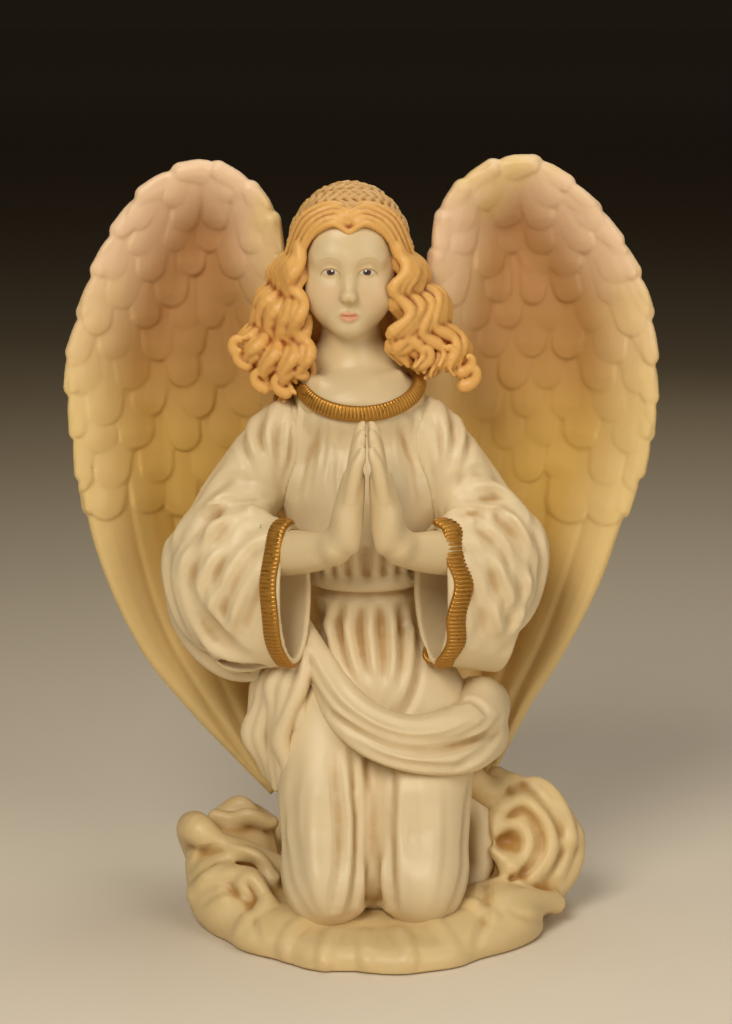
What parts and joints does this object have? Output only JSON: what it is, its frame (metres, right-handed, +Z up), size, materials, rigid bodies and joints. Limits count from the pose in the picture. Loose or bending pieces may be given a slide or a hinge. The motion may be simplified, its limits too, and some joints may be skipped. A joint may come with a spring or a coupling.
{
  "type": "resin angel figurine",
  "caption": "Kneeling praying angel figurine with tall cupped feathered wings, wide sleeves, gilt trims and a draped base with a felt pad.",
  "frame": {"origin": "on the table under the body, at the underside of the felt pad", "axes": "+Z up; the angel faces -Y; +X is the angel's own left"},
  "size_m": [0.1681, 0.11, 0.2137],
  "materials": {
    "ivory_resin": "satin cast resin, ivory with an amber wash in the hollows",
    "skin_resin": "smooth satin cast resin, pale flesh with painted features",
    "hair_resin": "satin cast resin, honey blond wash",
    "crown_resin": "satin cast resin, darker blond wash",
    "wing_resin": "satin cast resin, ivory shaded with rose, peach and amber",
    "gilt": "antique gold paint",
    "felt": "pressed felt"
  },
  "bodies": {
    "root": {"felt_pad": "felt", "base_drapery": "ivory_resin", "robe_body": "ivory_resin", "lap_drape": "ivory_resin", "left_sleeve": "ivory_resin", "right_sleeve": "ivory_resin", "left_cuff_trim": "gilt", "right_cuff_trim": "gilt", "collar_trim": "gilt", "left_forearm_and_hand": "skin_resin", "right_forearm_and_hand": "skin_resin", "head_and_bust": "skin_resin", "wavy_hair": "hair_resin", "braided_crown": "crown_resin", "left_wing": "wing_resin", "right_wing": "wing_resin"}
  },
  "joints": []
}
